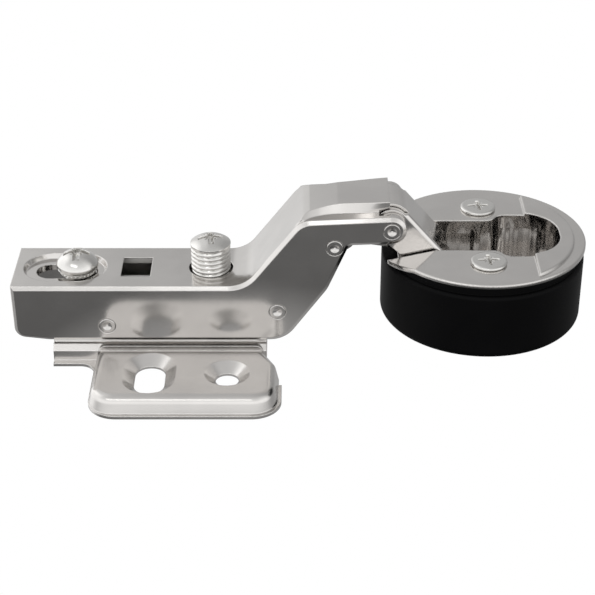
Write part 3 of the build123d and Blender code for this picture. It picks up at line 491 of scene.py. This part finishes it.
def gridFaces(rows, columns):
    # quads of a rows x columns grid whose columns go round
    index = np.arange(rows * columns).reshape(rows, columns)
    index = np.concatenate([index, index[:, :1]], 1)
    quads = np.stack([index[:-1, :-1], index[:-1, 1:], index[1:, 1:], index[1:, :-1]], -1)
    return quads.reshape(-1, 4).tolist()


def softStep(value, low, high):
    # 0 below low, 1 above high, and between them three times t squared less twice t cubed
    t = np.clip((value - low) / (high - low), 0, 1)
    return t * t * (3 - 2 * t)


# what all the screws share: the notches and the floor's rise as shares of the cross recess's own
# reach, half width, depth and wall, and the slope of the teeth as a share of their wave
screwShape = {
    "floorRise": 0.45, "notchReach": 0.62, "notchHalf": 0.32, "notchDepth": 0.45, "notchWall": 0.7,
    "toothSlope": 0.2,
}


def crossDepth(x, y, values):
    # depth of a cross recess at x, y: two crossed slots with sloping walls, a floor that rises in step
    # with the distance from the middle, and four small notches at 45 degrees
    ax, ay = np.abs(x), np.abs(y)
    half, reach, wall = values["slotHalf"], values["slotReach"], values["wall"]
    arms = np.minimum(np.maximum(ax - reach, ay - half), np.maximum(ay - reach, ax - half))
    bx, by = (ax + ay) / np.sqrt(2), np.abs(ax - ay) / np.sqrt(2)
    notches = np.maximum(bx - reach * screwShape["notchReach"], by - half * screwShape["notchHalf"])
    floor = values["depth"] * (1 - screwShape["floorRise"] * np.clip(np.hypot(x, y) / reach, 0, 1))
    deep = floor * (1 - softStep(arms, -wall, 0.0))
    shallow = screwShape["notchDepth"] * floor * (1 - softStep(notches, -wall * screwShape["notchWall"], 0.0))
    return np.maximum(deep, shallow)


def screwSide(values, turn, x, y):
    # the radius follows the profile, less a helical groove (its depth times 1 less the square root of 1
    # less the squared phase, so that crests are round) and less gaps between teeth, where a cosine is high
    profile = np.array(values["profile"], float)
    lengths = np.hypot(np.diff(profile[:, 0]), np.diff(profile[:, 1]))
    steps = np.maximum(1, np.ceil(lengths / values["step"]).astype(int))
    spots = [np.linspace(i, i + 1, n, endpoint=False) for i, n in enumerate(steps)]
    spots = np.concatenate(spots + [[len(steps)]])
    radius, height, cut = (np.interp(spots, np.arange(len(profile)), column)[:, None] for column in profile.T)
    phase = np.mod(height / values["pitch"] - turn / (2 * np.pi), 1.0)
    groove = values["threadDepth"] * (1 - np.sqrt(1 - (2 * phase - 1) ** 2)) * np.clip(cut, 0, 1)
    slope = screwShape["toothSlope"]
    wave = softStep(np.cos(turn * values["teeth"]), -slope, slope)
    gaps = values["toothDepth"] * wave * np.clip(cut - 1, 0, 1)
    body = radius - groove - gaps
    return np.stack([x + body * np.cos(turn), y + body * np.sin(turn), height + 0 * turn], -1)


def screwTop(values, turn, x, y, top):
    # cap of a sphere from the profile's last point to the top, less the cross recess
    rim, rimHeight = values["profile"][-1][:2]
    rings = rim * np.linspace(1, 0, values["rings"])[:, None]
    rise = top - rimHeight
    sphere = (rim**2 + rise**2) / (2 * rise)
    dome = top - sphere + np.sqrt(sphere**2 - rings**2)
    lx, ly = rings * np.cos(turn), rings * np.sin(turn)
    angle = radians(values["crossAngle"])
    along = lx * np.cos(angle) + ly * np.sin(angle)
    across = ly * np.cos(angle) - lx * np.sin(angle)
    return np.stack([x + lx, y + ly, dome - crossDepth(along, across, values)], -1)


def addScrew(name, body, slot, node, values):
    # the node's box gives the axis and the height of the head
    low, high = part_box(node)
    x, y = (low[0] + high[0]) / 2 / mm, (low[1] + high[1]) / 2 / mm
    columns = values["around"]
    turn = np.linspace(0, 2 * np.pi, columns, endpoint=False)
    points = np.concatenate([screwSide(values, turn, x, y), screwTop(values, turn, x, y, high[2] / mm)[1:]])
    faces = gridFaces(len(points), columns)
    # a fan closes the foot
    points = points.reshape(-1, 3)
    foot = np.array([[x, y, points[0, 2]]])
    ring = np.arange(columns)
    faces += np.stack([np.full(columns, len(points)), np.roll(ring, -1), ring], -1).tolist()
    addPiece(name, body, slot, np.concatenate([points, foot]) * mm, faces, (node,))


# screws, in mm: the profile is (radius, height, and 0 for smooth, 1 for thread, 2 for teeth)
low, high = (np.array(c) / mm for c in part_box("adjusting_screw"))
adjusting = {
    "profile": [
        (2.5, low[2], 0), (2.5, low[2] + 0.9, 0), (1.7, low[2] + 0.9, 0), (1.7, low[2] + 2.0, 0),
        (3.05, low[2] + 2.0, 0), (3.45, low[2] + 2.5, 1), (3.45, high[2] - 2.0, 1), (3.45, high[2] - 1.65, 0),
        (3.5, high[2] - 1.5, 0), (3.5, high[2] - 1.25, 0),
    ],
    "pitch": 0.82, "threadDepth": 0.42, "teeth": 0, "toothDepth": 0.0,
    "around": 144, "step": 0.09, "rings": 60, "crossAngle": 8,
    "slotHalf": 0.45, "slotReach": 2.15, "wall": 0.22, "depth": 1.5,
}
addScrew("adjustingScrewThread", "adjusting_screw", "bright_zinc", "adjusting_screw", adjusting)

low, high = (np.array(c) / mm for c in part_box("fixing_screw"))
headFace = high[2] - 4.0  # underside of the toothed collar
fixing = {
    "profile": [
        (1.9, low[2], 0), (2.25, low[2] + 0.4, 1), (2.25, headFace - 2.4, 1), (2.25, headFace - 2.2, 0),
        (2.3, headFace, 0), (3.05, headFace, 0), (3.2, headFace + 0.05, 2), (3.2, headFace + 0.75, 2),
        (3.5, headFace + 0.78, 0), (3.63, headFace + 0.9, 0), (3.65, headFace + 1.05, 0),
        (3.65, headFace + 1.6, 0),
    ],
    "pitch": 0.8, "threadDepth": 0.36, "teeth": 26, "toothDepth": 0.45,
    "around": 208, "step": 0.1, "rings": 60, "crossAngle": 2,
    "slotHalf": 0.58, "slotReach": 2.3, "wall": 0.25, "depth": 2.0,
}
addScrew("fixingScrewHead", "fixing_screw", "bright_zinc", "fixing_screw", fixing)

for end in ("front", "rear"):
    node = f"cup_screw_{end}"
    low, high = (np.array(c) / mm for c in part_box(node))
    cupScrew = {
        "profile": [
            (1.5, low[2], 0), (1.9, low[2] + 0.4, 1), (1.9, high[2] - 1.6, 1), (1.9, high[2] - 1.3, 0),
            (1.9, high[2] - 0.7, 0), (2.95, high[2] - 0.7, 0), (3.06, high[2] - 0.6, 0),
            (3.1, high[2] - 0.47, 0), (3.06, high[2] - 0.3, 0), (2.93, high[2] - 0.17, 0),
            (2.7, high[2] - 0.09, 0),
        ],
        "pitch": 0.9, "threadDepth": 0.3, "teeth": 0, "toothDepth": 0.0,
        "around": 144, "step": 0.12, "rings": 52, "crossAngle": 4,
        "slotHalf": 0.34, "slotReach": 1.8, "wall": 0.22, "depth": 1.1,
    }
    addScrew(f"cupScrewHead.{end}", node, "bright_zinc", node, cupScrew)
print("screws made")

# closing spring, in mm; the gaps keep the wire inside the node's box
spring = {
    "wire": 0.42, "turns": 3.0, "across": 16, "along": 220, "legRings": 24,
    "coilGap": 0.03, "endGap": 0.02, "legGap": 0.1,
}
low, high = (np.array(c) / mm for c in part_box("closing_spring"))
pinLow, pinHigh = (np.array(c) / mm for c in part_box("inner_link_pin"))
axisX, axisZ = (pinLow[0] + pinHigh[0]) / 2, (pinLow[2] + pinHigh[2]) / 2
wire, across, along = spring["wire"], spring["across"], spring["along"]
coilRadius = high[0] - axisX - wire - spring["coilGap"]
# helix about the pin, which starts at the pin's top and goes along Y
coilTurn = np.linspace(0, 2 * np.pi * spring["turns"], along) + np.pi / 2
endRoom = wire + spring["endGap"]
helix = np.stack([
    axisX + coilRadius * np.cos(coilTurn),
    np.linspace(low[1] + endRoom, high[1] - endRoom, along),
    axisZ + coilRadius * np.sin(coilTurn),
], -1)
# straight leg from -X to the start of the helix
legReach = low[0] - axisX + spring["legGap"]
leg = helix[0] + np.linspace(1, 0, spring["legRings"], endpoint=False)[:, None] * np.array([legReach, 0, 0])
path = np.concatenate([leg, helix])
# tube: at each point of the path a circle of the wire's radius, square to the way ahead
ahead = np.gradient(path, axis=0)
ahead /= np.linalg.norm(ahead, axis=1)[:, None]
side = np.cross(ahead, [0, 1, 0])
side /= np.linalg.norm(side, axis=1)[:, None]
up = np.cross(side, ahead)
around = np.linspace(0, 2 * np.pi, across, endpoint=False)[:, None]
tube = path[:, None] + wire * (side[:, None] * np.cos(around) + up[:, None] * np.sin(around))
firstEnd = list(range(across))[::-1]
lastEnd = list(range((len(path) - 1) * across, len(path) * across))
faces = gridFaces(len(path), across) + [firstEnd, lastEnd]
addPiece("closingSpringCoil", "arm", "spring_steel", tube * mm, faces, ("closing_spring",))
print("spring made")
